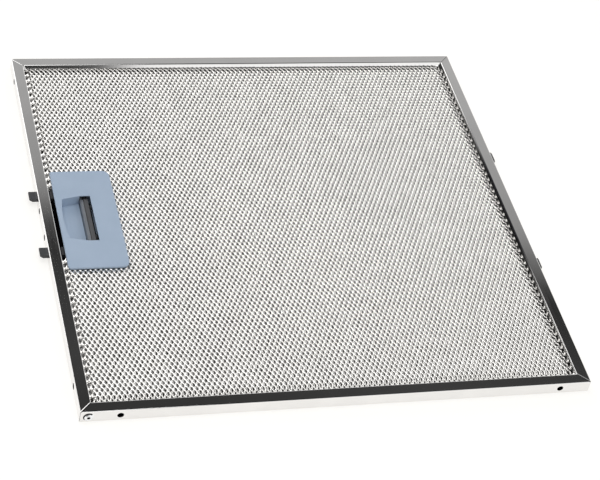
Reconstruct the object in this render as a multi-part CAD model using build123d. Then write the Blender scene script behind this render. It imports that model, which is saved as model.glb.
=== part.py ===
from build123d import *
import math
import os

# A square metal grease filter for a cooker hood, lying on its rear face: a folded frame round a
# pack of expanded metal sheets, and a moulded pull with a sprung latch in the left side.
# Millimetres. +Z is the face that shows in use, the latch is at -X, and the origin lies under the
# middle of the frame, on the plane of its rear face.

# Frame: one strip folded to a C section
frame_width = 320.0
frame_depth = 320.0
frame_height = 8.5
frame_sheet = 0.6
flange_width = 7.2
wall_bend_radius = 0.5
lip_bend_radius = 0.6
lip_lean = 2.2
mitre_gap = 0.25
corner_web = 1.4

# Drain holes in the walls, placed from the corners, and two more between the latch tongues
drain_radius = 2.0
drain_inset_start = 24.0
drain_inset_end = 20.0
latch_drain_spacing = 24.0
drill_depth = 3.5

# Lap at the corner where the strip closes, and its rivet
lap_length = 11.0
lap_height = 5.6
lap_clearance = 0.05
rivet_inset = 5.2
rivet_shank_radius = 1.6
rivet_head_radius = 3.2
rivet_head_height = 0.9
rivet_head_flat = 1.9
rivet_bulb_radius = 2.3
rivet_bulb_length = 1.2
rivet_bore_radius = 0.9
rivet_bore_depth = 1.0
rivet_clearance = 0.05

# Pack of expanded metal sheets
outer_sheet = 0.35
inner_sheet = 0.2
inner_count = 5
sheet_gap = 0.025
sheet_edge_room = 1.4
slope_start = 0.4
slope_run = 4.3

# Strands and gaps of the expanded metal
diamond_width = 3.21
diamond_length = 5.81
strand_rise = 0.5
gap_width = 1.7
gap_length = 14.0
gap_margin = 3.0
front_rib_rows = 1
front_gap_rows = 10
front_gap_step = 31.0
rear_rib_rows = 2
rear_gap_rows = 16
rear_gap_step = 56.0
inner_gap_width = 24.0
inner_gap_length = 43.0
inner_gap_pitch_x = 78.0
inner_gap_pitch_y = 84.0
inner_gap_shift = 7.0

# Pull: a moulded plate with a finger recess, and the box under it that holds the latch
pull_edge_gap = 3.0
pull_plate = 1.4
pull_proud = 0.3
pull_overlap = 12.0
pull_corner_inner = 5.0
pull_corner_outer = 2.0
pull_bevel = 0.4
box_setback_left = 0.5
box_setback_right = 0.7
box_side_room = 2.0
box_wall = 1.2
pack_seat = 0.1
cutout_clearance = 0.6

# Finger recess
recess_inset = 3.0
recess_length_outer = 35.6
recess_length_inner = 40.8
recess_bow = 1.8
recess_taper_run = 11.6
recess_floor = 1.2
recess_wall = 1.5

# Rear plate that closes the pull
rear_plate = 0.85
rear_recess = 0.1
rear_plate_inset = 0.5
rear_edge_gap = 0.7
clip_width = 10.0
clip_thickness = 1.6
clip_clearance = 0.2

# Latch: a grip across the recess, a cross bar and two arms that end in tongues
latch_clearance = 0.2
grip_width = 4.8
grip_end_gap = 1.6
grip_bevel_width = 2.1
grip_bevel_drop = 1.1
grip_window_gap = 1.6
bar_width = 4.6
tongue_width = 6.8
tongue_thickness = 2.5
tongue_reach = 5.1
tongue_lead = 2.2
tongue_lead_rise = 1.5
tongue_round = 0.5
latch_spare_travel = 0.4

# Latch springs, each a coil drawn with straight sides
spring_room = 15.5
spring_inset = 5.3
spring_radius = 1.9
spring_wire = 0.5
spring_turns = 4
spring_sides = 8
spring_end_gap = 0.1
spigot_side = 1.8
spigot_length = 2.4

# Fixed lugs in the wall opposite the latch
lug_spacing = 104.4
lug_length = 8.7
lug_thickness = 2.5
lug_reach = 3.2
lug_bevel = 0.7
lug_flange = 3.2
lug_base = 2.0
lug_clearance = 0.15

# Levels worked out from the sizes above
mid_height = frame_height / 2
channel_throat = 2 * outer_sheet + inner_count * inner_sheet + (inner_count + 3) * sheet_gap
pull_top = frame_height + pull_proud
pull_underside = pull_top - pull_plate
rear_plate_top = rear_recess + rear_plate
front_sheet_bottom = pull_underside - pack_seat - strand_rise - outer_sheet
rear_sheet_bottom = rear_plate_top + pack_seat + strand_rise
arm_bottom = mid_height - tongue_thickness / 2
arm_top = mid_height + tongue_thickness / 2

# Places along X, worked out from the left wall inwards
left_wall = -frame_width / 2
right_wall = frame_width / 2
pull_left = left_wall + flange_width + pull_edge_gap
box_left = pull_left + box_setback_left
recess_left = pull_left + recess_inset
recess_corner = recess_left + recess_bow
recess_right = recess_corner + recess_taper_run
grip_left = recess_right + latch_clearance
grip_right = grip_left + grip_width
window_right = grip_right + grip_window_gap
spring_seat = grip_right + spring_room
box_right = spring_seat + box_wall
pull_right = box_right + box_setback_right
pull_middle = (pull_left + pull_right) / 2
cutout_right = box_right + cutout_clearance
latch_travel = tongue_reach + latch_spare_travel

# Places along Y, worked out from the recess outwards
grip_length = recess_length_inner - 2 * grip_end_gap
spring_y = grip_length / 2 - spring_inset
tongue_y = recess_length_inner / 2 + recess_wall + latch_clearance + tongue_width / 2
box_half = tongue_y + tongue_width / 2 + box_side_room + box_wall
clip_y = box_half + pull_overlap / 2
pull_half = box_half + pull_overlap
cutout_half = box_half + cutout_clearance

# The lips' tips, and the flat middle of the pack inside its sloping border
lip_tip = flange_width + lip_lean
sheet_inset = frame_sheet + lug_base + sheet_edge_room
lip_inside = lip_tip + slope_start
border_inset = lip_inside + slope_run
middle_width = frame_width - 2 * border_inset
middle_depth = frame_depth - 2 * border_inset

# Direction and spacing of the strand rows
strand_slant = math.atan2(diamond_length, diamond_width)
strand_pitch = diamond_width * math.sin(strand_slant)


def prism(sketch, low, high):
    """A flat outline carried straight up from one level to another."""
    return extrude(Pos(0, 0, low) * sketch, amount=high - low)


def block(x_low, x_high, y_low, y_high, z_low, z_high):
    """A square-edged block between two opposite corners."""
    outline = Rectangle(x_high - x_low, y_high - y_low, align=Align.MIN)
    return prism(Pos(x_low, y_low) * outline, z_low, z_high)


def rhombus(length, width):
    """A diamond outline, its long diagonal along X."""
    return Polygon((length / 2, 0), (0, width / 2), (-length / 2, 0), (0, -width / 2), align=None)


def mitred_ring(section, reach):
    """A section carried round the frame's outline, with mitred corners.

    The section is drawn with X as the distance inwards from the outer face and Y as the height.
    """
    ring = Part()
    for angle, run, outer in frame_walls():
        plane = Plane(origin=(0, -outer, 0), x_dir=(0, 1, 0), z_dir=(1, 0, 0))
        bar = extrude(plane * section, run / 2, both=True)
        wedge = Polygon(
            (-run / 2, -outer),
            (run / 2, -outer),
            (run / 2 - reach, reach - outer),
            (reach - run / 2, reach - outer),
            align=None,
        )
        ring += Rot(Z=angle) * (bar & prism(wedge, 0, frame_height))
    return ring


def frame_walls():
    """Each wall as its turn from the front wall, its length and its distance from the middle."""
    front = (frame_width, frame_depth / 2)
    side = (frame_depth, frame_width / 2)
    return [(0, *front), (90, *side), (180, *front), (270, *side)]


def wall_drill(radius, place, wall):
    """A drill through one wall at mid height, placed along the wall from its middle."""
    angle, _, outer = wall
    return Rot(Z=angle) * Pos(place, -outer, mid_height) * Rot(X=90) * Cylinder(radius, 2 * drill_depth)


def make_frame():
    """The folded strip: C section with leaning lips, mitred flanges, a lap, holes and slots."""
    outline = Polygon(
        (0, 0),
        (flange_width, 0),
        (lip_tip, mid_height),
        (flange_width, frame_height),
        (0, frame_height),
        align=None,
    )
    hollow = offset(outline, -frame_sheet)
    section = fillet(outline.vertices().sort_by(Axis.X)[:2], wall_bend_radius)
    section = fillet(section.vertices().sort_by(Axis.X)[-3:-1], lip_bend_radius)
    throat = Pos(lip_tip, mid_height) * Rectangle(2 * (lip_lean + 2 * frame_sheet), channel_throat)
    frame = mitred_ring(section - hollow - throat, lip_tip)
    frame &= prism(RectangleRounded(frame_width, frame_depth, frame_sheet), 0, frame_height)

    for side_x, side_y in ((-1, -1), (1, -1), (1, 1), (-1, 1)):
        closing = side_x < 0 and side_y < 0
        start = -corner_web if closing else corner_web
        stop = lip_tip + frame_sheet
        inset = (start + stop) / 2
        slit = prism(Rectangle((stop - start) * math.sqrt(2), mitre_gap), 0, frame_height)
        corner = Pos(side_x * (frame_width / 2 - inset), side_y * (frame_depth / 2 - inset))
        frame -= corner * Rot(Z=45 * side_x * side_y) * slit

    lap_face = frame_sheet + lap_clearance - frame_depth / 2
    frame += block(
        left_wall + frame_sheet,
        left_wall + lap_length,
        lap_face,
        lap_face + frame_sheet,
        mid_height - lap_height / 2,
        mid_height + lap_height / 2,
    )
    walls = frame_walls()
    front, latch = walls[0], walls[3]
    drills = [wall_drill(rivet_shank_radius + rivet_clearance, left_wall + rivet_inset, front)]
    for wall in walls:
        start, end = drain_inset_start, drain_inset_end
        if wall is latch:
            start, end = end, start
        drills.append(wall_drill(drain_radius, start - wall[1] / 2, wall))
        drills.append(wall_drill(drain_radius, wall[1] / 2 - end, wall))
    for side in (-1, 1):
        drills.append(wall_drill(drain_radius, side * latch_drain_spacing / 2, latch))
    frame -= drills

    for side in (-1, 1):
        frame -= block(
            left_wall - frame_sheet,
            left_wall + lip_tip + frame_sheet,
            side * tongue_y - tongue_width / 2 - latch_clearance,
            side * tongue_y + tongue_width / 2 + latch_clearance,
            arm_bottom - latch_clearance,
            arm_top + latch_clearance,
        )
        frame -= block(
            right_wall - 2 * frame_sheet,
            right_wall + frame_sheet,
            side * lug_spacing / 2 - lug_length / 2 - lug_clearance,
            side * lug_spacing / 2 + lug_length / 2 + lug_clearance,
            mid_height - lug_thickness / 2 - lug_clearance,
            mid_height + lug_thickness / 2 + lug_clearance,
        )
    return frame


def make_corner_rivet():
    """A blind rivet: head outside, shank through wall and lap, and the set bulb inside."""
    grip = 2 * frame_sheet + lap_clearance
    half_section = Polygon(
        (rivet_bore_radius, rivet_head_height),
        (rivet_head_flat, rivet_head_height),
        (rivet_head_radius, 0),
        (rivet_shank_radius, 0),
        (rivet_shank_radius, -grip),
        (rivet_bulb_radius, -grip),
        (rivet_bulb_radius, -grip - rivet_bulb_length),
        (0, -grip - rivet_bulb_length),
        (0, rivet_head_height - rivet_bore_depth),
        (rivet_bore_radius, rivet_head_height - rivet_bore_depth),
        align=None,
    )
    rivet = revolve(half_section, Axis.Y)
    return Pos(left_wall + rivet_inset, -frame_depth / 2, mid_height) * Rot(Z=180) * rivet


def edge_levels():
    """The underside of each sheet where the frame pinches the pack, from rear to front."""
    level = mid_height - channel_throat / 2 + sheet_gap
    levels = []
    for thickness in [outer_sheet, *inner_count * [inner_sheet], outer_sheet]:
        levels.append(level)
        level += thickness + sheet_gap
    return levels


def sheet_border(edge_level, middle_level, thickness):
    """The border of a sheet: a flat edge held in the frame and a slope up or down to the middle."""
    section = Polygon(
        (sheet_inset, edge_level),
        (lip_inside, edge_level),
        (border_inset, middle_level),
        (border_inset, middle_level + thickness),
        (lip_inside, edge_level + thickness),
        (sheet_inset, edge_level + thickness),
        align=None,
    )
    return mitred_ring(section, border_inset)


def ribbed_plate(rib_rows, low, high):
    """The flat middle of an outer sheet, with its strands as slanting ribs on the upper side.

    The ribs follow one of the two strand directions of the diamonds, and each takes in one row of
    strands or more.
    """
    pitch = rib_rows * strand_pitch
    count = math.ceil(math.hypot(middle_width, middle_depth) / pitch / 2) + 1
    reach = count * pitch
    zigzag = [(-reach, high - strand_rise)]
    for rib in range(-count, count):
        zigzag.append(((rib + 0.5) * pitch, high))
        zigzag.append(((rib + 1) * pitch, high - strand_rise))
    section = Polygon(*zigzag, (reach, low), (-reach, low), align=None)
    slab = extrude(Plane.XZ * section, amount=reach, both=True)
    slab = Rot(Z=math.degrees(strand_slant) - 90) * slab
    return slab & prism(Rectangle(middle_width, middle_depth), low, high)


def strand_gaps(rows, step, low, high):
    """Slim diamond gaps in the valleys between ribs, staggered over the flat middle of a sheet."""
    across = rows * strand_pitch
    reach = math.hypot(middle_width, middle_depth) / 2
    cutter = Rot(Z=math.degrees(strand_slant)) * prism(rhombus(gap_length, gap_width), low, high)
    room_x = middle_width / 2 - gap_margin - gap_length / 2
    room_y = middle_depth / 2 - gap_margin - gap_length / 2
    row_count = math.ceil(reach / across)
    step_count = math.ceil(reach / step) + 1
    gaps = []
    for row in range(-row_count, row_count + 1):
        for index in range(-step_count, step_count + 1):
            along = (index + 0.5 * (row % 2)) * step
            x = along * math.cos(strand_slant) - row * across * math.sin(strand_slant)
            y = along * math.sin(strand_slant) + row * across * math.cos(strand_slant)
            under_pull = x < pull_right + gap_length and abs(y) < pull_half + gap_length
            if abs(x) < room_x and abs(y) < room_y and not under_pull:
                gaps.append(Pos(x, y) * cutter)
    return gaps


def diamond_gaps(shift, low, high):
    """Large diamond gaps of an inner sheet, each in place of a field of small ones."""
    cutter = Rot(Z=90) * prism(rhombus(inner_gap_length, inner_gap_width), low, high)
    columns = int(middle_width / inner_gap_pitch_x)
    lines = int(middle_depth / inner_gap_pitch_y)
    gaps = []
    for column in range(columns):
        for line in range(lines):
            x = (column - (columns - 1) / 2) * inner_gap_pitch_x + shift
            y = (line - (lines - 1) / 2) * inner_gap_pitch_y + shift
            if x > pull_right + inner_gap_width or abs(y) > pull_half + inner_gap_length:
                gaps.append(Pos(x, y) * cutter)
    return gaps


def pull_cutouts():
    """What is cut out of every sheet for the pull: a bay open to the left edge and two clip slots."""
    cut = block(left_wall, cutout_right, -cutout_half, cutout_half, 0, frame_height)
    slot = Rectangle(clip_width + 2 * cutout_clearance, clip_thickness + 2 * cutout_clearance)
    for side in (-1, 1):
        cut += Pos(pull_middle, side * clip_y) * prism(slot, 0, frame_height)
    return cut


def make_outer_sheet(edge_level, sheet_level, rib_rows, gap_rows, gap_step):
    """An outer sheet with its ribs up. The rear sheet is made the same way and turned over."""
    rib_top = sheet_level + outer_sheet + strand_rise
    sheet = sheet_border(edge_level, sheet_level, outer_sheet)
    sheet += ribbed_plate(rib_rows, sheet_level, rib_top)
    return sheet - strand_gaps(gap_rows, gap_step, sheet_level, rib_top)


def make_inner_sheet(edge_level, sheet_level, shift):
    """An inner sheet, flat between its sloping borders."""
    sheet_top = sheet_level + inner_sheet
    sheet = sheet_border(edge_level, sheet_level, inner_sheet)
    sheet += prism(Rectangle(middle_width, middle_depth), sheet_level, sheet_top)
    return sheet - diamond_gaps(shift, sheet_level, sheet_top)


def make_pack():
    """All sheets of the pack by name, from rear to front."""
    edges = edge_levels()
    rear = make_outer_sheet(
        frame_height - edges[0] - outer_sheet,
        frame_height - rear_sheet_bottom - outer_sheet,
        rear_rib_rows,
        rear_gap_rows,
        rear_gap_step,
    )
    sheets = {"rear_mesh": Pos(0, 0, frame_height) * Rot(X=180) * rear}
    rear_sheet_top = rear_sheet_bottom + outer_sheet
    spacing = (front_sheet_bottom - rear_sheet_top) / (inner_count + 1)
    for index in range(1, inner_count + 1):
        level = rear_sheet_top + index * spacing - inner_sheet / 2
        shift = inner_gap_shift * (index - (inner_count + 1) / 2)
        sheets[f"inner_mesh_{index}"] = make_inner_sheet(edges[index], level, shift)
    sheets["front_mesh"] = make_outer_sheet(
        edges[-1],
        front_sheet_bottom,
        front_rib_rows,
        front_gap_rows,
        front_gap_step,
    )
    cutouts = pull_cutouts()
    return {name: sheet - cutouts for name, sheet in sheets.items()}


def plate_outline(left, right, half):
    """A plate's outline: small corners beside the frame and large ones on the mesh."""
    outline = Pos(left, -half) * Rectangle(right - left, 2 * half, align=Align.MIN)
    outline = fillet(outline.vertices().sort_by(Axis.X)[:2], pull_corner_outer)
    return fillet(outline.vertices().sort_by(Axis.X)[-2:], pull_corner_inner)


def recess_outline():
    """The finger recess: a bowed side, two slanting ends and a straight side at the grip."""
    outer_half = recess_length_outer / 2
    inner_half = recess_length_inner / 2
    bow = ThreePointArc((recess_corner, outer_half), (recess_left, 0), (recess_corner, -outer_half))
    sides = Polyline(
        (recess_corner, -outer_half),
        (recess_right, -inner_half),
        (recess_right, inner_half),
        (recess_corner, outer_half),
    )
    return make_face([bow, sides])


def make_pull_shell():
    """The moulded pull: plate, recess, the latch box under it, guide ribs and two clips."""
    shell = prism(plate_outline(pull_left, pull_right, pull_half), pull_underside, pull_top)
    shell = chamfer(shell.faces().sort_by(Axis.Z)[-1].edges(), pull_bevel)
    box = block(box_left, box_right, -box_half, box_half, rear_plate_top, pull_underside)
    inner_left = box_left + box_wall
    inner_half = box_half - box_wall
    shell += box - block(inner_left, spring_seat, -inner_half, inner_half, rear_plate_top, pull_underside)

    recess = recess_outline()
    cup = prism(offset(recess, recess_wall), rear_plate_top, pull_underside)
    shell += cup & block(box_left, recess_right, -box_half, box_half, rear_plate_top, pull_underside)
    shell -= prism(recess, rear_plate_top + recess_floor, pull_top)
    window_half = recess_length_inner / 2
    shell -= block(recess_right, window_right, -window_half, window_half, pull_underside, pull_top)

    slot_half = tongue_width / 2 + latch_clearance
    slot_top = arm_top + latch_clearance
    clip = prism(Rectangle(clip_width, clip_thickness), rear_recess, pull_underside)
    for side in (-1, 1):
        arm_y = side * tongue_y
        rib_low, rib_high = arm_y - recess_wall, arm_y + recess_wall
        shell += block(inner_left, recess_right, rib_low, rib_high, slot_top, pull_underside)
        shell -= block(box_left, inner_left, arm_y - slot_half, arm_y + slot_half, rear_plate_top, slot_top)
        shell += Pos(pull_middle, side * clip_y) * clip
    return shell


def make_rear_plate():
    """The rear plate of the pull, with clip slots and two rails under the latch arms."""
    rear_left = left_wall + flange_width + rear_edge_gap
    outline = plate_outline(rear_left, pull_right - rear_plate_inset, pull_half - rear_plate_inset)
    plate = prism(outline, rear_recess, rear_plate_top)
    rail_left = box_left + box_wall + latch_clearance
    rail_top = arm_bottom - latch_clearance
    slot = Rectangle(clip_width + 2 * clip_clearance, clip_thickness + 2 * clip_clearance)
    for side in (-1, 1):
        rail_low, rail_high = side * tongue_y - recess_wall, side * tongue_y + recess_wall
        plate += block(rail_left, recess_right, rail_low, rail_high, rear_plate_top, rail_top)
        plate -= Pos(pull_middle, side * clip_y) * prism(slot, rear_recess, rear_plate_top)
    return plate


def make_latch_slider():
    """The latch: bevelled grip, cross bar, two arms with ramped tongues and two spring spigots."""
    grip_low = rear_plate_top + latch_clearance
    grip_high = pull_underside - latch_clearance
    grip_section = Polygon(
        (grip_left, grip_low),
        (grip_right, grip_low),
        (grip_right, grip_high),
        (grip_left + grip_bevel_width, grip_high),
        (grip_left, grip_high - grip_bevel_drop),
        align=None,
    )
    slider = extrude(Plane.XZ * grip_section, grip_length / 2, both=True)
    bar_half = tongue_y + tongue_width / 2
    slider += block(grip_left, grip_left + bar_width, -bar_half, bar_half, arm_bottom, arm_top)
    tip = left_wall - tongue_reach
    arm_section = Polygon(
        (grip_left, arm_bottom),
        (grip_left, arm_top),
        (tip, arm_top),
        (tip, arm_bottom + tongue_lead_rise),
        (tip + tongue_lead, arm_bottom),
        align=None,
    )
    arm = extrude(Plane.XZ * arm_section, tongue_width / 2, both=True)
    arm = fillet(arm.faces().sort_by(Axis.X)[0].edges().filter_by(Axis.Z), tongue_round)
    spigot = Box(spigot_length, spigot_side, spigot_side, align=(Align.MIN, Align.CENTER, Align.CENTER))
    for side in (-1, 1):
        slider += Pos(0, side * tongue_y) * arm
        slider += Pos(grip_right, side * spring_y, mid_height) * spigot
    return slider


def make_latch_springs():
    """Two coil springs, side by side, between the grip and the far wall of the box."""
    length = spring_room - 2 * spring_end_gap - spring_wire
    steps = spring_turns * spring_sides
    points = []
    for step in range(steps + 1):
        turn = 2 * math.pi * step / spring_sides
        points.append((length * step / steps, spring_radius * math.cos(turn), spring_radius * math.sin(turn)))
    path = Polyline(*points)
    start = Plane(origin=path @ 0, x_dir=(1, 0, 0), z_dir=path % 0)
    coil = sweep(start * Rectangle(spring_wire, spring_wire), path=path, transition=Transition.RIGHT)
    coil_left = grip_right + spring_end_gap + spring_wire / 2
    return Compound(children=[Pos(coil_left, side * spring_y, mid_height) * coil for side in (-1, 1)])


def make_fixed_lug(lug_y):
    """A lug plug: its base sits in the channel and its bevelled nose stands out of the wall."""
    inside = right_wall - frame_sheet
    base_half = lug_length / 2 + lug_flange
    base = block(
        inside - lug_base,
        inside,
        lug_y - base_half,
        lug_y + base_half,
        frame_sheet + lug_clearance,
        frame_height - frame_sheet - lug_clearance,
    )
    nose = block(
        inside,
        right_wall + lug_reach,
        lug_y - lug_length / 2,
        lug_y + lug_length / 2,
        mid_height - lug_thickness / 2,
        mid_height + lug_thickness / 2,
    )
    return base + chamfer(nose.faces().sort_by(Axis.X)[-1].edges(), lug_bevel)


pieces = {
    "frame": make_frame(),
    "corner_rivet": make_corner_rivet(),
    **make_pack(),
    "pull_shell": make_pull_shell(),
    "pull_rear_plate": make_rear_plate(),
    "latch_slider": make_latch_slider(),
    "latch_springs": make_latch_springs(),
    "fixed_lug_far": make_fixed_lug(lug_spacing / 2),
    "fixed_lug_near": make_fixed_lug(-lug_spacing / 2),
}

os.makedirs("parts", exist_ok=True)
for name, piece in pieces.items():
    export_step(piece, f"parts/{name}.step")
    print(name, round(piece.volume, 1))
print("latch travel", latch_travel)
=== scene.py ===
# %% [markdown]
# # A cooker hood filter
# The solids of the filter come in first. They are the frame that everything else is fitted to, and
# they are never moved.

import math

import bpy
import numpy as np
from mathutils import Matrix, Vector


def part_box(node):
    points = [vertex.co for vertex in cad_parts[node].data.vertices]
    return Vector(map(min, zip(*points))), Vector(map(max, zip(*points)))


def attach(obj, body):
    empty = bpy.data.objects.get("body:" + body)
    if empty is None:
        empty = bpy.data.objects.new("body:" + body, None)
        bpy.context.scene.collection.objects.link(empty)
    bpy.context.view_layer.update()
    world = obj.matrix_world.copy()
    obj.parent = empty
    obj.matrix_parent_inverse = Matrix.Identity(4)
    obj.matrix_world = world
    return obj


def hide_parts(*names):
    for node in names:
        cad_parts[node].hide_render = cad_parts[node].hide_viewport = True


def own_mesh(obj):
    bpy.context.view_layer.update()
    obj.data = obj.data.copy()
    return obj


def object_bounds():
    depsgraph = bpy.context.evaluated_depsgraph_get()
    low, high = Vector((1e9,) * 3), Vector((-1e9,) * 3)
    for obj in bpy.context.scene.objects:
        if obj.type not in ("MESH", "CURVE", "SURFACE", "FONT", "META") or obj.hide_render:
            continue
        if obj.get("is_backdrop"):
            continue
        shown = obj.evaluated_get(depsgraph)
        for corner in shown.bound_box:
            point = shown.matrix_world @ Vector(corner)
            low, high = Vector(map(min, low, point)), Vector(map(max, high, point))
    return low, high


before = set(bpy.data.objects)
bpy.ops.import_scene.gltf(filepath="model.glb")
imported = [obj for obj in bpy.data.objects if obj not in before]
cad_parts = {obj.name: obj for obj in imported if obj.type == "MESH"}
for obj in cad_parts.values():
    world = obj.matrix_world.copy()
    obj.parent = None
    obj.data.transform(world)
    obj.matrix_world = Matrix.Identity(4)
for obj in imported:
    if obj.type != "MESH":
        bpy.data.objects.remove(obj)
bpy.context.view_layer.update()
scene = bpy.context.scene
print("nodes:", sorted(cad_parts))

# %% [markdown]
# Every new piece is worked out in millimetres as whole arrays and then handed to Blender in one go.
# One helper does that: it takes the corner points and the faces, makes the mesh, puts the piece on a
# body and hides the solids that it stands for. Slitting and pulling rounds the edges of thin metal,
# so all faces are shaded smooth, and the light runs over a strand as it runs over a wire.

# %% A helper that turns arrays into a piece
MM = 0.001


def new_piece(name, points, faces, body, slot, *nodes):
    """A mesh from points (n, 3) in millimetres and four-cornered faces (m, 4), riding on a body."""
    mesh = bpy.data.meshes.new(name)
    mesh.vertices.add(len(points))
    mesh.vertices.foreach_set("co", (points * MM).astype(np.float32).ravel())
    mesh.loops.add(faces.size)
    mesh.loops.foreach_set("vertex_index", faces.astype(np.int32).ravel())
    mesh.polygons.add(len(faces))
    mesh.polygons.foreach_set("loop_start", np.arange(0, faces.size, 4, dtype=np.int32))
    mesh.polygons.foreach_set("use_smooth", np.ones(len(faces), dtype=bool))
    mesh.update(calc_edges=True)
    piece = bpy.data.objects.new(name, mesh)
    scene.collection.objects.link(piece)
    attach(piece, body)
    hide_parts(*nodes)
    print(f"{name}: {len(points)} points, {2 * len(faces)} triangles")
    return piece


print(f"pieces are worked out in millimetres and scaled by {MM}")

# %% [markdown]
# Expanded metal is a sheet that is slit in staggered rows and pulled open. What is left is a set of
# narrow bands that run the same way and zigzag, each joined to its neighbour on the left and on the
# right in turn. At a joint, one band is the left half and its neighbour the right half of a short
# tilted strip. A picture of diamonds on a flat plane would be quicker, but it would not glint. Here
# each band is a real strip with a width, a thickness and a tilt. The corners of the joints come first.

# %% Corner points of the joints
SLOPE_START = 8.9
SLOPE_RUN = 1.2
BORDER_TILT = 0.6
LEAN_SPREAD = 0.05


def high_corner(node):
    """The X, Y and Z of the high corner of a solid's box, in millimetres to a thousandth."""
    return [round(value / MM, 3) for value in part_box(node)[1]]


FRAME_HALF = high_corner("frame")[0]
SHEET_HALF = high_corner("front_mesh")[0]


def smooth_step(value):
    """0 below 0, 1 above 1, and three times its square less twice its cube between them."""
    value = np.clip(value, 0, 1)
    return value * value * (3 - 2 * value)


def joint_corners(pitch, strand, bond, thick, tilt, level, edge, shift, seed):
    """Columns and rows of a grid of joints, and the corner points of each.

    The joint of a column and a row lies at (column * pitch_x / 2, row * pitch_y / 2). It is a strip two
    strands wide and one bond long, tilted about Y so that its right half lies higher. Its corners are
    counted by layer (top, underside), end (near, far) and place (left, middle, right). The sheet's
    height is its level. At the border it falls to the edge height along an S, and the tilt lessens.
    """
    across = int(2 * SHEET_HALF / pitch[0]) + 2
    along = int(2 * SHEET_HALF / pitch[1]) + 2
    column, row = np.meshgrid(np.arange(-across, across + 1), np.arange(-along, along + 1), indexing="ij")
    lean = tilt + np.random.default_rng(seed).normal(0, LEAN_SPREAD, column.shape)
    layer = np.array([1.0, -1.0])[:, None, None]
    end = np.array([-1.0, 1.0])[:, None]
    place = np.array([-1.0, 0.0, 1.0])
    cos = np.cos(lean)[..., None, None, None]
    sin = np.sin(lean)[..., None, None, None]
    x = (column * pitch[0] / 2 + shift[0])[..., None, None, None]
    y = (row * pitch[1] / 2 + shift[1])[..., None, None, None]
    x = x + place * strand * cos - layer * thick / 2 * sin + 0 * end
    y = y + end * bond / 2 + 0 * x
    z = place * strand * sin + layer * thick / 2 * cos + 0 * end
    ramp = smooth_step((FRAME_HALF - np.maximum(np.abs(x), np.abs(y)) - SLOPE_START) / SLOPE_RUN)
    z = edge + (level - edge) * ramp + z * (BORDER_TILT + (1 - BORDER_TILT) * ramp)
    return column, row, np.stack([x, y, z], axis=-1)


print(f"sheets: {2 * SHEET_HALF} mm square")

# %% [markdown]
# The strips between those corners are the joints and the strands. Blender could also copy one diamond
# with Array modifiers, but then every joint would lean alike, and the bay for the pull would have to
# be cut out afterwards. With whole arrays, a strip is a row of four corner numbers, and those that lie
# in the bay or past the edge are left out by one comparison.

# %% A function for expanded metal
BAY_RIGHT = high_corner("pull_rear_plate")[0]
BAY_HALF = 32.7


def strip(a, b, c, d):
    """The top of a strip from the edge a-b to the edge d-c, and its two long sides."""
    top = np.stack([a[:, 0], b[:, 0], c[:, 0], d[:, 0]], axis=1)
    one = np.stack([a[:, 1], a[:, 0], d[:, 0], d[:, 1]], axis=1)
    two = np.stack([b[:, 0], b[:, 1], c[:, 1], c[:, 0]], axis=1)
    return np.concatenate([top, one, two])


def expanded_metal(pitch, strand, bond, thick, tilt, level, edge, shift=(0, 0), seed=1):
    """Points and faces of an expanded sheet.

    There is a joint where column and row are both even or both odd. From the far end of its right half
    a strand runs to the near end of the left half of the joint up and to the right. From its left half
    one runs to the right half of the joint up and to the left.
    """
    column, row, corners = joint_corners(pitch, strand, bond, thick, tilt, level, edge, shift, seed)
    points = corners.reshape(-1, 3)
    index = np.arange(len(points)).reshape(corners.shape[:-1])
    joint = (column + row)[1:-1, :-1] % 2 == 0
    here = index[1:-1, :-1][joint]
    right = index[2:, 1:][joint]
    left = index[:-2, 1:][joint]
    faces = np.concatenate([
        strip(here[:, :, 0, 0], here[:, :, 0, 2], here[:, :, 1, 2], here[:, :, 1, 0]),
        strip(here[:, :, 1, 1], here[:, :, 1, 2], right[:, :, 0, 1], right[:, :, 0, 0]),
        strip(here[:, :, 1, 0], here[:, :, 1, 1], left[:, :, 0, 2], left[:, :, 0, 1]),
    ])
    in_bay = (points[:, 0] < BAY_RIGHT) & (np.abs(points[:, 1]) < BAY_HALF)
    outside = np.abs(points[:, :2]).max(axis=1) > SHEET_HALF
    faces = faces[~(in_bay[faces].all(axis=1) | outside[faces].any(axis=1))]
    points[:, 0] = np.where(in_bay, BAY_RIGHT, points[:, 0])
    used, faces = np.unique(faces, return_inverse=True)
    return points[used], faces.reshape(-1, 4)


print(f"bay for the pull: {BAY_RIGHT + SHEET_HALF} x {2 * BAY_HALF} mm")

# %% [markdown]
# The front sheet is the fine silvery net that fills the frame. Its diamonds are about 3 mm wide and
# 6 mm long, which gives about ten thousand of them. The border of the sheet dips under the frame's
# lips, so that the net seems to come up out of the frame like a shallow cushion.

# %% The front sheet
FRONT_PITCH = (3.21, 5.81)
FRONT_STRAND = 1.15
FRONT_BOND = 1.5
FRONT_THICK = 0.18
FRONT_TILT = math.radians(16)
FRONT_LEVEL = 6.8
SHEET_EDGE = 4.7
FRONT = (FRONT_PITCH, FRONT_STRAND, FRONT_BOND, FRONT_THICK, FRONT_TILT, FRONT_LEVEL, SHEET_EDGE)
points, faces = expanded_metal(*FRONT)
front_sheet = new_piece("front_sheet", points, faces, "filter", "mesh_metal", "front_mesh")

# %% [markdown]
# The rear sheet is cut from the same net and lies the other way up. Turning the first sheet by half
# a turn about the X axis gives it. A turn keeps the faces pointing outwards, which a mirror would not.

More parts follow.
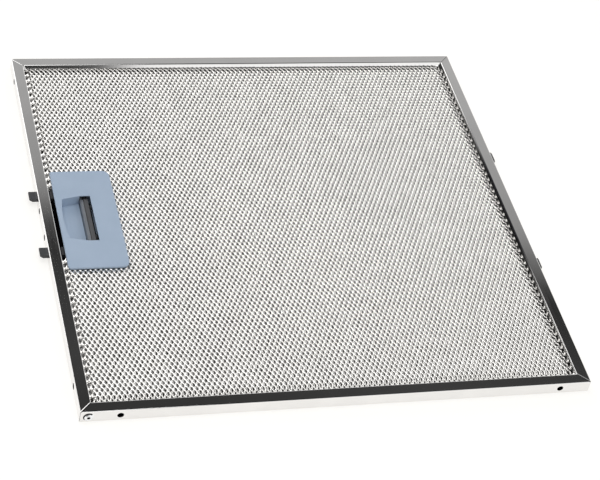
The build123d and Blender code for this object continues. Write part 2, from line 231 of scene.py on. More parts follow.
# %% The rear sheet
FRAME_HEIGHT = high_corner("frame")[2]
REAR_SEED = 2
HALF_TURN_ABOUT_X = (1, -1, -1)
points, faces = expanded_metal(*FRONT, seed=REAR_SEED)
points = points * HALF_TURN_ABOUT_X + (0, 0, FRAME_HEIGHT)
rear_sheet = new_piece("rear_sheet", points, faces, "filter", "mesh_metal", "rear_mesh")

# %% [markdown]
# Between the two lie coarser sheets that catch the grease. They are laid without care for each other,
# so each is shifted by its own amount. Through the fine net they show as a grey shimmer, not as holes
# to the floor, and that is most of what makes the filter look like a filter.

# %% The inner sheets
INNER_COUNT = sum(name.startswith("inner_mesh_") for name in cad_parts)
INNER_PITCH = (5.55, 9.6)
INNER_STRAND = 1.5
INNER_BOND = 3.0
INNER_THICK = 0.1
INNER_TILT = math.radians(12)
INNER_FIRST_LEVEL = 2.1
INNER_LEVEL_STEP = 0.7
INNER_FIRST_EDGE = 3.9
INNER_EDGE_STEP = 0.12
INNER_SHIFT = np.array([1.7, 2.9])
INNER_SEED = 10
INNER = (INNER_PITCH, INNER_STRAND, INNER_BOND, INNER_THICK, INNER_TILT)
inner_sheets = []
for number in range(1, INNER_COUNT + 1):
    level = INNER_FIRST_LEVEL + INNER_LEVEL_STEP * number
    edge = INNER_FIRST_EDGE + INNER_EDGE_STEP * number
    points, faces = expanded_metal(*INNER, level, edge, INNER_SHIFT * number, INNER_SEED + number)
    name = f"inner_sheet_{number}"
    inner_sheets.append(new_piece(name, points, faces, "filter", "mesh_metal", f"inner_mesh_{number}"))

# %% [markdown]
# Two small coil springs behind the grip push the latch out. A spring is a round wire carried along a
# helix, which is a function of two parameters: the way along the wire and the way round it. A Screw
# modifier would turn a circle into a coil as well, but not with the end turns closed, as on a real
# spring. The solid spring has straight sides to stay light, so a round one takes its place here.

# %% A function for a coil
WIRE_RADIUS = 0.25
SPRING_TURNS = 7
END_TURNS = 0.9
STEPS_ALONG = 168
STEPS_ROUND = 8
CAP = np.array([[0, 1, 2, 3], [0, 3, 4, 7], [4, 5, 6, 7]])


def coil(start, stop, middle_y, middle_z, radius):
    """Points and faces of a coil along X.

    The wire's centre turns about the spring's axis at a fixed radius. In the end turns it moves along X
    by one wire a turn, so they lie closed, and evenly between them. Round each centre point lies a ring,
    which spans the outward direction and the X direction. The rings are joined in order, and a cap of
    three faces closes each end.
    """
    way = np.linspace(0, 1, STEPS_ALONG)
    angle = math.tau * SPRING_TURNS * way
    closed = END_TURNS / SPRING_TURNS
    travel = np.clip((way - closed) / (1 - 2 * closed), 0, 1)
    ends = np.clip(way / closed, 0, 1) + np.clip((way - 1 + closed) / closed, 0, 1)
    first = start + WIRE_RADIUS
    last = stop - WIRE_RADIUS
    lead = 2 * WIRE_RADIUS * END_TURNS
    along = first + lead * ends + (last - first - 2 * lead) * travel
    turn = np.linspace(0, math.tau, STEPS_ROUND, endpoint=False)
    reach = radius + WIRE_RADIUS * np.cos(turn)[None, :]
    x = along[:, None] + WIRE_RADIUS * np.sin(turn)[None, :]
    y = middle_y + reach * np.cos(angle)[:, None]
    z = middle_z + reach * np.sin(angle)[:, None]
    index = np.arange(x.size).reshape(x.shape)
    following = np.roll(index, -1, axis=1)
    walls = np.stack([index[:-1], index[1:], following[1:], following[:-1]], axis=-1).reshape(-1, 4)
    caps = np.concatenate([index[0][CAP], index[-1][CAP[:, ::-1]]])
    return np.stack([x, y, z], axis=-1).reshape(-1, 3), np.concatenate([walls, caps])


print(f"a spring has {SPRING_TURNS} turns of wire {2 * WIRE_RADIUS} mm thick")

# %% [markdown]
# The springs fill the box of the solid ones, so their sizes are read from it. As the latch is drawn
# back, a real coil gets shorter with its ends held.

# %% The latch springs
low, high = (np.array(corner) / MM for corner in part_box("latch_springs"))
spring_outer = (high[2] - low[2]) / 2
spring_z = (high[2] + low[2]) / 2
spring_y = high[1] - spring_outer
halves = [coil(low[0], high[0], side * spring_y, spring_z, spring_outer - WIRE_RADIUS) for side in (-1, 1)]
points = np.concatenate([half[0] for half in halves])
faces = np.concatenate([halves[0][1], halves[1][1] + len(halves[0][0])])
springs = new_piece("coil_springs", points, faces, "filter", "spring_steel", "latch_springs")
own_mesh(springs)

# %% [markdown]
# Materials come next. Each is one Principled shader with patterns that are worked out from the place
# on the object, so nothing has to be unwrapped. Numbers that are the same all over go on the shader's
# own sockets. The first helpers make a material, a node of any kind and a sum, and find the place.

# %% Helpers for nodes


def principled(name, color, metallic, roughness):
    """A material with its one shader. A colour or roughness holds where no pattern feeds its socket."""
    material = bpy.data.materials.new(name)
    material.use_nodes = True
    shader = material.node_tree.nodes["Principled BSDF"]
    shader.inputs["Base Color"].default_value = (*color, 1)
    shader.inputs["Metallic"].default_value = metallic
    shader.inputs["Roughness"].default_value = roughness
    return material, material.node_tree, shader


def add_node(tree, kind, inputs=(), **settings):
    """A node of one kind with its settings. Inputs is a dict of sockets that feed it or fixed values."""
    node = tree.nodes.new("ShaderNode" + kind)
    for name, value in settings.items():
        setattr(node, name, value)
    for name, value in dict(inputs).items():
        if isinstance(value, bpy.types.NodeSocket):
            tree.links.new(value, node.inputs[name])
        else:
            node.inputs[name].default_value = value
    return node


def calculate(tree, operation, first, second=0.0):
    """The result of one sum on two sockets or numbers."""
    return add_node(tree, "Math", {0: first, 1: second}, operation=operation).outputs[0]


def place_on_object(tree):
    """The point's place on the object, in metres."""
    return add_node(tree, "TexCoord").outputs["Object"]


def split(tree, vector):
    """The X, Y and Z sockets of a vector."""
    return add_node(tree, "SeparateXYZ", {0: vector}).outputs


print("materials before dressing:", len(bpy.data.materials))

# %% [markdown]
# The other helpers make patterns: a noise that is stretched along the axes, a value spread over a
# range, a mask that is 1 in one stretch of the object, a blend of two colours, and a relief. They could
# be node groups, but plain functions are shorter to read and leave the same nodes in each material.

# %% Helpers for patterns
NOISE_LOW = 0.3
NOISE_HIGH = 0.7


def spread(tree, value, low, high, start=0.0, stop=1.0):
    """Maps a value between start and stop to the range from low to high along an S-curve."""
    inputs = {"Value": value, "From Min": start, "From Max": stop, "To Min": low, "To Max": high}
    return add_node(tree, "MapRange", inputs, interpolation_type="SMOOTHSTEP").outputs["Result"]


def noise(tree, place, grains_per_metre, detail=2.0):
    """A cloudy pattern from 0 to 1, with its number of grains in a metre along each axis."""
    stretched = add_node(tree, "Mapping", {"Vector": place, "Scale": grains_per_metre}).outputs["Vector"]
    inputs = {"Vector": stretched, "Scale": 1.0, "Detail": detail}
    return add_node(tree, "TexNoise", inputs).outputs["Fac"]


def scatter(tree, pattern, low, high):
    """Maps the middle of a noise, where most of it lies, to the range from low to high."""
    return spread(tree, pattern, low, high, NOISE_LOW, NOISE_HIGH)


def between(tree, value, low, high):
    """1 where a value in metres lies between two values in millimetres, and 0 elsewhere."""
    above = calculate(tree, "GREATER_THAN", value, low * MM)
    return calculate(tree, "MULTIPLY", above, calculate(tree, "LESS_THAN", value, high * MM))


def blend_colors(tree, factor, first, second):
    """The first colour where the factor is 0 and the second where it is 1."""
    inputs = {"Factor": factor, "A": first, "B": second}
    return add_node(tree, "Mix", inputs, data_type="RGBA").outputs["Result"]


def relief(tree, shader, height, depth):
    """Tilts the surface as a height pattern of that depth in millimetres would."""
    bump = add_node(tree, "Bump", {"Height": height, "Distance": depth * MM, "Strength": 1.0})
    tree.links.new(bump.outputs["Normal"], shader.inputs["Normal"])


def dress(material, *pieces):
    """Gives each piece one material in place of those it came with."""
    for piece in pieces:
        piece.data.materials.clear()
        piece.data.materials.append(material)
    print(f"{material.name}: {len(material.node_tree.nodes)} nodes on {len(pieces)} pieces")


print(f"a noise is spread from {NOISE_LOW} to {NOISE_HIGH}")

# %% [markdown]
# The net is thin aluminium, bright but never polished. The slitting tool leaves it a little brighter
# in one place than in another, with a fine grain. Two clouds do this: a wide one for the tone and a
# fine one for the roughness. The inner sheets are the same metal with a far darker tone, which is
# painted shade deep in the pack, so one function makes both. The painted shade that turns a sheet
# black is given as a mask of its own.

# %% A function for aluminium
TONE_GRAINS = (90, 90, 90)
ROLLED_GRAINS = (1500, 700, 1500)
SHADE_BLACK = (0.03, 0.028, 0.026, 1)


def aluminium(name, dull, bright, smooth, rough, painted_shade_mask):
    """Aluminium whose tone and roughness each wander between two values, painted black as shade by a mask.

    The mask is a function of the node tree and the place on the object, and marks the painted shade.
    """
    material, tree, shader = principled(name, bright, metallic=1.0, roughness=rough)
    place = place_on_object(tree)
    tone = scatter(tree, noise(tree, place, TONE_GRAINS, detail=3.0), 0.0, 1.0)
    clean = blend_colors(tree, tone, (*dull, 1), (*bright, 1))
    # Painted shade: the mask turns the sheet black where it stands for shade.
    tree.links.new(blend_colors(tree, painted_shade_mask(tree, place), clean, SHADE_BLACK), shader.inputs["Base Color"])
    grain = noise(tree, place, ROLLED_GRAINS)
    tree.links.new(scatter(tree, grain, smooth, rough), shader.inputs["Roughness"])
    return material


print("tone grains in a metre:", TONE_GRAINS)

# %% [markdown]
# Along the far and right lips, every second strand of the net faces the dark channel under the lip.
# Those strands are painted black there, a painted reflection of that shade. A picture could paint
# those strands, but two waves with the net's own pitch find them as well: where both waves have one
# sign, the strand runs up to the right.

# %% Aluminium of the net
SHADE_RUN_RIGHT = 12.7
SHADE_RUN_FAR = 14.5
SHADE_FADE = 1.0
STRAND_FADE = 0.25
NET_DULL = (0.90, 0.885, 0.855)
NET_BRIGHT = (0.97, 0.953, 0.922)
NET_SMOOTH = 0.19
NET_ROUGH = 0.26


def border_strands(tree, place):
    """1 on the strands that run up to the right, near the right and far edges.

    There the sine of X and the sine of Y, each with the net's pitch as its period, have one sign.
    """
    axes = split(tree, place)
    turns_x = calculate(tree, "MULTIPLY", axes["X"], math.tau / (FRONT_PITCH[0] * MM))
    turns_y = calculate(tree, "MULTIPLY", axes["Y"], math.tau / (FRONT_PITCH[1] * MM))
    across = calculate(tree, "SINE", turns_x)
    along = calculate(tree, "SINE", turns_y)
    strand = spread(tree, calculate(tree, "MULTIPLY", across, along), 0.0, 1.0, 0.0, STRAND_FADE)
    past_right = calculate(tree, "SUBTRACT", axes["X"], (FRAME_HALF - SHADE_RUN_RIGHT) * MM)
    past_far = calculate(tree, "SUBTRACT", axes["Y"], (FRAME_HALF - SHADE_RUN_FAR) * MM)
    past = calculate(tree, "MAXIMUM", past_right, past_far)
    border = spread(tree, past, 0.0, 1.0, -SHADE_FADE * MM, SHADE_FADE * MM)
    return calculate(tree, "MULTIPLY", strand, border)


# The border strands that face the dark channel are painted black, a painted reflection of its shade.
mesh_metal = aluminium("mesh_metal", NET_DULL, NET_BRIGHT, NET_SMOOTH, NET_ROUGH, border_strands)
dress(mesh_metal, front_sheet, rear_sheet)

# %% [markdown]
# On the inner sheets a band along the far, near and right sides, where the pack is pinched in the
# frame, is painted black as shade, and fades over a few millimetres. It makes the gaps of the net
# look deep there. The left side has the pull, and stays as the middle is.

# %% Aluminium of the inner sheets
INNER_SHADE_RUN = 15.0
INNER_SHADE_START = FRAME_HALF - INNER_SHADE_RUN
INNER_SHADE_FADE = 2.0
# The inner sheets' tone is set far below the net's, as painted shade deep in the pack.
INNER_SHADED_DULL = (0.31, 0.31, 0.31)
INNER_SHADED_BRIGHT = (0.41, 0.405, 0.40)
INNER_SMOOTH = 0.30
INNER_ROUGH = 0.40


# Painted shade: a black band along the pinched border of each inner sheet.
def border_shade(tree, place):
    """1 past a line near the far, near and right edges, by the larger of X and the size of Y."""
    axes = split(tree, place)
    reach = calculate(tree, "MAXIMUM", axes["X"], calculate(tree, "ABSOLUTE", axes["Y"]))
    start = (INNER_SHADE_START - INNER_SHADE_FADE) * MM
    stop = (INNER_SHADE_START + INNER_SHADE_FADE) * MM
    return spread(tree, reach, 0.0, 1.0, start, stop)


inner_metal = aluminium("inner_metal", INNER_SHADED_DULL, INNER_SHADED_BRIGHT, INNER_SMOOTH, INNER_ROUGH, border_shade)
dress(inner_metal, *inner_sheets)

# %% [markdown]
# The frame is a strip of bright rolled steel, almost a mirror. What gives it away as rolled metal is
# that its fine lines run along each side, so the pattern is stretched along Y on the left and right
# sides and along X on the other two. A picture could hold such lines, but it would have to be laid
# round the folds. The lines and some wide clouds set how sharp the mirror is.

# %% Steel of the frame
STEEL = (0.84, 0.83, 0.82)
LINES_ALONG = 14
LINES_ACROSS = 1400
LINE_LOW = 0.35
LINE_HIGH = 0.65
LINE_ROUGH = 0.02
CLOUD_GRAINS = (45, 45, 45)
CLOUD_SMOOTH = 0.03
CLOUD_ROUGH = 0.06
frame_metal, tree, shader = principled("frame_metal", STEEL, metallic=1.0, roughness=0.07)
place = place_on_object(tree)
reach = split(tree, add_node(tree, "VectorMath", {0: place}, operation="ABSOLUTE").outputs[0])
side_wall = calculate(tree, "GREATER_THAN", reach["X"], reach["Y"])
lines_x = noise(tree, place, (LINES_ALONG, LINES_ACROSS, LINES_ACROSS), detail=3.0)
lines_y = noise(tree, place, (LINES_ACROSS, LINES_ALONG, LINES_ACROSS), detail=3.0)
lines = add_node(tree, "Mix", {"Factor": side_wall, "A": lines_x, "B": lines_y}).outputs["Result"]
clouds = noise(tree, place, CLOUD_GRAINS, detail=3.0)
line_rough = spread(tree, lines, 0.0, LINE_ROUGH, LINE_LOW, LINE_HIGH)
smudge = calculate(tree, "ADD", line_rough, spread(tree, clouds, CLOUD_SMOOTH, CLOUD_ROUGH))
tree.links.new(smudge, shader.inputs["Roughness"])
print(f"rolled lines: {LINES_ACROSS} to a metre")

# %% [markdown]
# A folded strip is never quite flat. A slow wave keeps its reflections from being straight as on
# glass, and at the mitres the strip's ends spring up by a hair, which shows as a line of other light.
# Both are far too low to model, so they join the rolled lines as heights of one relief.

# %% Relief of the frame
LINE_DEPTH = 0.0004
WAVE_GRAINS = (16, 16, 16)
WAVE_HEIGHT = 0.024
RIDGE_HEIGHT = 0.035
RIDGE_HALF = 1.0
waves = noise(tree, place, WAVE_GRAINS, detail=1.0)
waves = calculate(tree, "MULTIPLY", waves, WAVE_HEIGHT / LINE_DEPTH)
from_mitre = calculate(tree, "ABSOLUTE", calculate(tree, "SUBTRACT", reach["X"], reach["Y"]))
ridge = spread(tree, from_mitre, RIDGE_HEIGHT / LINE_DEPTH, 0.0, 0.0, RIDGE_HALF * MM)
heights = calculate(tree, "ADD", calculate(tree, "ADD", lines, waves), ridge)
relief(tree, shader, heights, LINE_DEPTH)
print(f"relief in mm: lines {LINE_DEPTH}, waves {WAVE_HEIGHT}, mitres {RIDGE_HEIGHT}")

# %% [markdown]
# The steel's tone wanders a little with the same clouds. Inside the folded channel no light gets in,
# so the metal there is painted black as shade: that is where a point lies behind the wall, before the
# lip and between the flanges. Halfway along the right side the photograph also shows the lip dark, so
# a dark reflection is painted there by its place. A second material would need the solid to be cut up.

# %% Where the steel is dark
FLANGE_WIDTH = 7.2
CHANNEL_SKIN = 0.35
LIP_SKIN = 0.3
STEEL_DULL = (0.825, 0.815, 0.805, 1)
STEEL_BRIGHT = (0.855, 0.845, 0.835, 1)
CHANNEL_SHADE_BLACK = (0.02, 0.02, 0.022, 1)
LIP_REFLECTION_DARK = (0.03, 0.03, 0.033, 1)
LIP_FOOT = 8.3
LIP_FULL = 8.0
LIP_TOP = 6.8
LIP_REFLECTION_FAR = (30.0, 150.0)
LIP_REFLECTION_NEAR = (-130.0, -32.0)
steel = blend_colors(tree, scatter(tree, clouds, 0.0, 1.0), STEEL_DULL, STEEL_BRIGHT)
axes = split(tree, place)
# Painted reflection: a dark stretch halfway along the right lip, set by its place.
from_right = calculate(tree, "SUBTRACT", FRAME_HALF * MM, axes["X"])
on_lip = spread(tree, from_right, 1.0, 0.0, LIP_FULL * MM, LIP_FOOT * MM)
on_lip = calculate(tree, "MULTIPLY", on_lip, calculate(tree, "GREATER_THAN", from_right, LIP_TOP * MM))
from_far = spread(tree, axes["Y"], 1.0, 0.0, LIP_REFLECTION_FAR[0] * MM, LIP_REFLECTION_FAR[1] * MM)
from_near = spread(tree, axes["Y"], 0.0, 1.0, LIP_REFLECTION_NEAR[0] * MM, LIP_REFLECTION_NEAR[1] * MM)
# This mask is the painted dark reflection on the right lip.
dull = calculate(tree, "MULTIPLY", on_lip, calculate(tree, "MULTIPLY", from_far, from_near))
steel = blend_colors(tree, dull, steel, LIP_REFLECTION_DARK)
# Painted shade: black inside the folded channel, where no light gets in.
inset = calculate(tree, "SUBTRACT", FRAME_HALF * MM, calculate(tree, "MAXIMUM", reach["X"], reach["Y"]))
in_channel = between(tree, inset, CHANNEL_SKIN, FLANGE_WIDTH - LIP_SKIN)
between_flanges = between(tree, reach["Z"], CHANNEL_SKIN, FRAME_HEIGHT - CHANNEL_SKIN)
in_channel = calculate(tree, "MULTIPLY", in_channel, between_flanges)
tree.links.new(blend_colors(tree, in_channel, steel, CHANNEL_SHADE_BLACK), shader.inputs["Base Color"])
dress(frame_metal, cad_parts["frame"])

# %% [markdown]
# The rivet that closes the frame is a plain aluminium one with a domed head. A drawn head has fine
# rings from the setting tool, but at this size only a soft satin shows, so a grain is enough. The
# bore where the mandrel broke off is painted black as shade, and the upper left rim of the head is
# painted black as a dark reflection. Both are found by the distance from the rivet's axis.

# %% Aluminium of the rivet
BORE_RADIUS = 1.0
RIM_RADIUS = 2.5
RIVET = (0.86, 0.87, 0.88)
RIVET_PAINTED_DARK = (0.012, 0.012, 0.013, 1)
RIVET_GRAINS = (1800, 1800, 1800)
RIVET_SMOOTH = 0.2
RIVET_ROUGH = 0.34
RIVET_RELIEF = 0.006
rivet_metal, tree, shader = principled("rivet_metal", RIVET, metallic=1.0, roughness=0.25)
place = place_on_object(tree)
rivet_middle = sum(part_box("corner_rivet"), Vector()) / 2
offset = add_node(tree, "VectorMath", {0: place, 1: tuple(rivet_middle)}, operation="SUBTRACT").outputs[0]
offset = add_node(tree, "VectorMath", {0: offset, 1: (1, 0, 1)}, operation="MULTIPLY").outputs[0]
radius = add_node(tree, "VectorMath", {0: offset}, operation="LENGTH").outputs["Value"]
to_upper_left = add_node(tree, "VectorMath", {0: offset, 1: (-1, 0, 1)}, operation="DOT_PRODUCT")
upper_left = calculate(tree, "GREATER_THAN", to_upper_left.outputs["Value"], 0.0)
dark_rim = calculate(tree, "GREATER_THAN", radius, RIM_RADIUS * MM)
dark_rim = calculate(tree, "MULTIPLY", dark_rim, upper_left)
# Painted shade in the bore, and a painted dark reflection on the upper left rim of the head.
painted_dark = calculate(tree, "MAXIMUM", calculate(tree, "LESS_THAN", radius, BORE_RADIUS * MM), dark_rim)
tree.links.new(blend_colors(tree, painted_dark, (*RIVET, 1), RIVET_PAINTED_DARK), shader.inputs["Base Color"])
grain = noise(tree, place, RIVET_GRAINS, detail=3.0)
tree.links.new(scatter(tree, grain, RIVET_SMOOTH, RIVET_ROUGH), shader.inputs["Roughness"])
relief(tree, shader, grain, RIVET_RELIEF)
dress(rivet_metal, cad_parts["corner_rivet"])

# %% [markdown]
# The pull is moulded in a grey-blue plastic with a satin finish. A mould that is spark-eroded leaves
# a fine even grain, which is a relief of about a hundredth of a millimetre, and the colour wanders by
# a percent or two. The slot round the grip opens into the dark inside of the box, and so does the gap
# beside the frame. There the same material is painted black and matt by its place, as painted shade.

# %% Plastic of the pull
PULL = (0.352, 0.445, 0.578)
PULL_DEEP = (0.343, 0.433, 0.555, 1)
PULL_PALE = (0.362, 0.452, 0.575, 1)
SLOT_SHADE_BLACK = (0.006, 0.006, 0.007, 1)
SLOT_LEFT = -133.3
SLOT_RIGHT = -126.0
SLOT_HALF = 21.5
SLOT_TOP = 8.2
GAP_RIGHT = -149.0
GAP_TOP = 7.8
GLOSS = 0.5
PULL_CLOUDS = (60, 60, 60)
PULL_GRAINS = (2200, 2200, 2200)
PULL_SMOOTH = 0.40
PULL_ROUGH = 0.52
PULL_RELIEF = 0.012
pull_plastic, tree, shader = principled("pull_plastic", PULL, metallic=0.0, roughness=0.45)
place = place_on_object(tree)
clouds = scatter(tree, noise(tree, place, PULL_CLOUDS, detail=4.0), 0.0, 1.0)
blue = blend_colors(tree, clouds, PULL_DEEP, PULL_PALE)
axes = split(tree, place)
# Painted shade: the walls of the slot and the box wall in the gap are black and matt.
slot = between(tree, axes["X"], SLOT_LEFT, SLOT_RIGHT)
slot = calculate(tree, "MULTIPLY", slot, between(tree, axes["Y"], -SLOT_HALF, SLOT_HALF))
slot = calculate(tree, "MULTIPLY", slot, calculate(tree, "LESS_THAN", axes["Z"], SLOT_TOP * MM))
gap = calculate(tree, "LESS_THAN", axes["X"], GAP_RIGHT * MM)
gap = calculate(tree, "MULTIPLY", gap, calculate(tree, "LESS_THAN", axes["Z"], GAP_TOP * MM))
dark = calculate(tree, "MAXIMUM", slot, gap)
tree.links.new(blend_colors(tree, dark, blue, SLOT_SHADE_BLACK), shader.inputs["Base Color"])
tree.links.new(spread(tree, dark, GLOSS, 0.0), shader.inputs["Specular IOR Level"])
grain = noise(tree, place, PULL_GRAINS)
tree.links.new(scatter(tree, grain, PULL_SMOOTH, PULL_ROUGH), shader.inputs["Roughness"])
relief(tree, shader, grain, PULL_RELIEF)
dress(pull_plastic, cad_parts["pull_shell"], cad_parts["pull_rear_plate"])

# %% [markdown]
# The latch and the fixed lugs are a harder, near-black plastic that slides well. The grip is a little
# paler, in patches, than the tongues, which the frame hides. Along the edge that fingers pull on, a
# painted highlight turns the grip grey, and just behind that edge a thin line is painted black as
# shade. So the tone follows the place along X.

# %% Plastic of the latch and the lugs
LATCH_NODES = ("latch_slider", "fixed_lug_far", "fixed_lug_near")
LATCH = (0.05, 0.053, 0.058)
LATCH_BLACK = (0.030, 0.031, 0.034, 1)
GRIP_BLACK = (0.075, 0.076, 0.082, 1)
EDGE_HIGHLIGHT_GREY = (0.15, 0.165, 0.19, 1)
GROOVE_SHADE_BLACK = (0.012, 0.012, 0.013, 1)
GRIP_LEFT = -134.5
EDGE_RIGHT = -131.5
GROOVE = -131.2
GROOVE_HALF = 0.3
SCUFF_GRAINS = (300, 120, 300)
SCUFF_LEAST = 0.8
LATCH_GRAINS = (2600, 2600, 2600)
LATCH_SMOOTH = 0.32
LATCH_ROUGH = 0.46
LATCH_RELIEF = 0.008
latch_plastic, tree, shader = principled("latch_plastic", LATCH, metallic=0.0, roughness=0.4)
place = place_on_object(tree)
along = split(tree, place)["X"]
scuffs = scatter(tree, noise(tree, place, SCUFF_GRAINS, detail=4.0), SCUFF_LEAST, 1.0)
paler_grip = calculate(tree, "MULTIPLY", between(tree, along, GRIP_LEFT, 0.0), scuffs)
black = blend_colors(tree, paler_grip, LATCH_BLACK, GRIP_BLACK)
# Painted highlight along the grip's left edge, and painted shade in the thin line behind it.
edge_highlight = calculate(tree, "MULTIPLY", paler_grip, calculate(tree, "LESS_THAN", along, EDGE_RIGHT * MM))
black = blend_colors(tree, edge_highlight, black, EDGE_HIGHLIGHT_GREY)
groove_shade = between(tree, along, GROOVE - GROOVE_HALF, GROOVE + GROOVE_HALF)
black = blend_colors(tree, groove_shade, black, GROOVE_SHADE_BLACK)
tree.links.new(black, shader.inputs["Base Color"])
grain = noise(tree, place, LATCH_GRAINS)
tree.links.new(scatter(tree, grain, LATCH_SMOOTH, LATCH_ROUGH), shader.inputs["Roughness"])
relief(tree, shader, grain, LATCH_RELIEF)
dress(latch_plastic, *(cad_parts[name] for name in LATCH_NODES))

# %% [markdown]
# Spring wire is drawn through a die and blued against rust. It is hidden inside the pull, so a plain
# dark steel with a little scatter in its roughness does.

# %% Steel of the springs
BLUED_STEEL = (0.06, 0.06, 0.063)
SPRING_GRAINS = (1200, 1200, 1200)
SPRING_SMOOTH = 0.18
SPRING_ROUGH = 0.34
spring_steel, tree, shader = principled("spring_steel", BLUED_STEEL, metallic=1.0, roughness=0.3)
grain = noise(tree, place_on_object(tree), SPRING_GRAINS, detail=3.0)
tree.links.new(scatter(tree, grain, SPRING_SMOOTH, SPRING_ROUGH), shader.inputs["Roughness"])
dress(spring_steel, springs)

# %% [markdown]
# The floor is plain and pale. A floor that is lit to full white by lamps would flood the metal with
# light from below, so the white that the camera and the reflections see is a glow that only those
# rays meet. The part of the floor's colour that lamps light keeps the soft shadow of the filter.

# %% The floor
FLOOR_HALF = 8.0
FLOOR_DROP = 0.0001
FLOOR_LIT = (0.9, 0.9, 0.9)
FLOOR_SEEN = (0.36, 0.36, 0.36)
FLOOR_GLOW = 0.72
GLOW_COLOR = (1, 0.985, 0.95, 1)
corners = np.array([(-1, -1), (1, -1), (1, 1), (-1, 1)]) * FLOOR_HALF
floor_mesh = bpy.data.meshes.new("floor")
floor_mesh.from_pydata([(x, y, -FLOOR_DROP) for x, y in corners], [], [(0, 1, 2, 3)])
floor = bpy.data.objects.new("floor", floor_mesh)
scene.collection.objects.link(floor)
floor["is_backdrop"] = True
floor_white, tree, shader = principled("floor_white", FLOOR_LIT, metallic=0.0, roughness=0.9)
path = add_node(tree, "LightPath").outputs
seen = calculate(tree, "MAXIMUM", path["Is Camera Ray"], path["Is Glossy Ray"])
tree.links.new(blend_colors(tree, seen, (*FLOOR_LIT, 1), (*FLOOR_SEEN, 1)), shader.inputs["Base Color"])
shader.inputs["Emission Color"].default_value = GLOW_COLOR
tree.links.new(calculate(tree, "MULTIPLY", seen, FLOOR_GLOW), shader.inputs["Emission Strength"])
dress(floor_white, floor)

# %% [markdown]
# Bright metal shows the room more than itself, so the room is most of this picture. Behind the filter
# a pale wall gets darker towards the ceiling: the far parts of the frame mirror the wall and come out
# light, and the near parts mirror the ceiling and come out almost black. A picture of a room would do
# the same, but a colour that depends on the direction alone can be read and changed. The wall's tone
# is a row of stops by height, each a height and a tone. A new stop may start anywhere, and then gets
# its place. The room in front of the filter is dark.

# %% The walls of the room
WALL_TONES = [
    (0.0, 1.25),
    (0.36, 1.25),
    (0.48, 0.72),
    (0.60, 0.52),
    (0.635, 0.46),
    (0.65, 0.41),
    (0.67, 0.36),
    (0.684, 0.31),
    (0.704, 0.026),
    (0.73, 0.045),
    (0.75, 0.055),
    (0.762, 0.04),
    (1.0, 0.03),
]
WALL_SLANT = 0.09
FRONT_TONE = (0.05, 0.05, 0.05, 1)
FRONT_END = -0.25
WALL_BEGIN = 0.15
world = bpy.data.worlds.new("room")
scene.world = world
world.use_nodes = True
tree = world.node_tree
tree.nodes.clear()
direction = add_node(tree, "TexCoord").outputs["Generated"]
height = add_node(tree, "VectorMath", {0: direction, 1: (WALL_SLANT, 0, 1)}, operation="DOT_PRODUCT")
wall = add_node(tree, "ValToRGB", {"Fac": height.outputs["Value"]})
stops = wall.color_ramp.elements
ANYWHERE = 0.5
while len(stops) < len(WALL_TONES):
    stops.new(ANYWHERE)
for stop, (position, tone) in zip(stops, WALL_TONES):
    stop.position = position
    stop.color = (tone, tone, tone, 1)
axes = split(tree, direction)
behind = spread(tree, axes["Y"], 0.0, 1.0, FRONT_END, WALL_BEGIN)
room = blend_colors(tree, behind, FRONT_TONE, wall.outputs["Color"])
print("wall:", len(stops), "stops")

# %% [markdown]
# On the right a white panel stands for a large window. It is what the lip on the far side shows. It
# leans, so that its edge falls where the white of that lip begins. The camera itself sees plain white
# behind the filter, and only reflections and light come from the room.

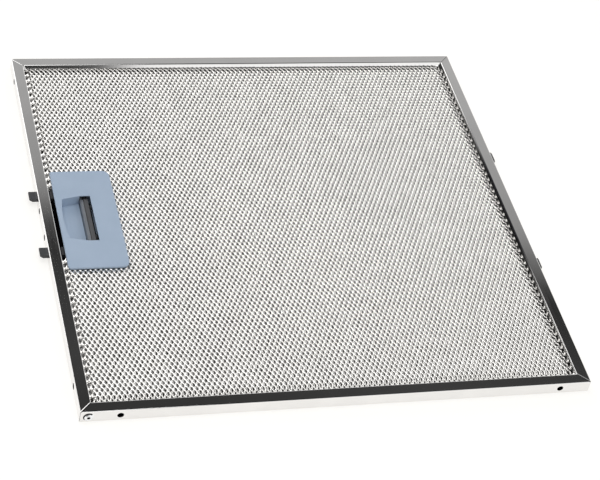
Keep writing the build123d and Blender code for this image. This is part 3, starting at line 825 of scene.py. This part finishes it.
# %% The window and the backdrop
PANEL_WHITE = (1.05, 1.05, 1.05, 1)
PANEL_LEAN = 0.35
PANEL_EDGE = (0.088, 0.124)
PANEL_BACK = (0.30, 0.42)
outwards = add_node(tree, "VectorMath", {0: direction, 1: (1, 0, -PANEL_LEAN)}, operation="DOT_PRODUCT")
beside = spread(tree, outwards.outputs["Value"], 0.0, 1.0, *PANEL_EDGE)
panel = calculate(tree, "MULTIPLY", beside, spread(tree, axes["Y"], 1.0, 0.0, *PANEL_BACK))
seen_room = add_node(tree, "Background", {"Color": blend_colors(tree, panel, room, PANEL_WHITE)})
backdrop = add_node(tree, "Background", {"Color": (1, 1, 1, 1)})
camera_ray = add_node(tree, "LightPath").outputs["Is Camera Ray"]
shown = add_node(tree, "MixShader", {0: camera_ray, 1: seen_room.outputs[0], 2: backdrop.outputs[0]})
add_node(tree, "OutputWorld", {"Surface": shown.outputs[0]})
print("room:", len(tree.nodes), "nodes")

# %% [markdown]
# Three soft boxes light the filter. The one behind on the left is what the tilted joints of the net
# mirror, and it makes them glitter. The one above is mirrored by the strands that lean to the front.
# The one in front lights the plastic of the pull and the floor of its recess. A sun would make hard
# points on the metal, so they are large and not strong, and a colour looks as it is written. A row
# of the table is a name, a place and a size in metres, and a power in watts.

# %% The lamps
LAMPS = [
    ("left_back_box", (-0.40, 1.20, 1.00), 0.8, 3.5),
    ("top_box", (-0.31, 0.15, 1.5), 0.9, 6.6),
    ("front_box", (-0.3, -1.25, 1.2), 1.2, 9.0),
]


def soft_box(name, place, size, power):
    """A square lamp of that size in metres and power in watts, which faces the middle of the filter."""
    data = bpy.data.lights.new(name, "AREA")
    data.size = size
    data.energy = power
    lamp = bpy.data.objects.new(name, data)
    scene.collection.objects.link(lamp)
    lamp.location = place
    lamp.rotation_euler = (-Vector(place)).to_track_quat("-Z", "Y").to_euler()
    print(f"{name}: {power} W over {size * size:.2f} square metres")


for lamp_values in LAMPS:
    soft_box(*lamp_values)

# %% [markdown]
# The camera stands in front on the left and looks down at the filter. Its place, its turn and its
# lens were fitted to the corners of the frame in the photograph, which is how the picture lines up.

# %% The camera
CAMERA_PLACE = (-0.346892, -0.857356, 0.83604)
CAMERA_TURN = (46.609, -10.183, -13.338)
camera_data = bpy.data.cameras.new("camera")
camera_data.sensor_width = 36.0
camera_data.lens = 114.0128
camera_data.clip_start = 0.05
camera_data.clip_end = 50.0
camera = bpy.data.objects.new("camera", camera_data)
scene.collection.objects.link(camera)
camera.location = CAMERA_PLACE
camera.rotation_euler = tuple(math.radians(angle) for angle in CAMERA_TURN)
scene.camera = camera
scene.view_settings.view_transform = "Standard"
print("camera at", tuple(camera.location))

# %% Sizes and finish
low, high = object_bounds()
print("visual box:", [round(value, 4) for value in (*low, *high)])
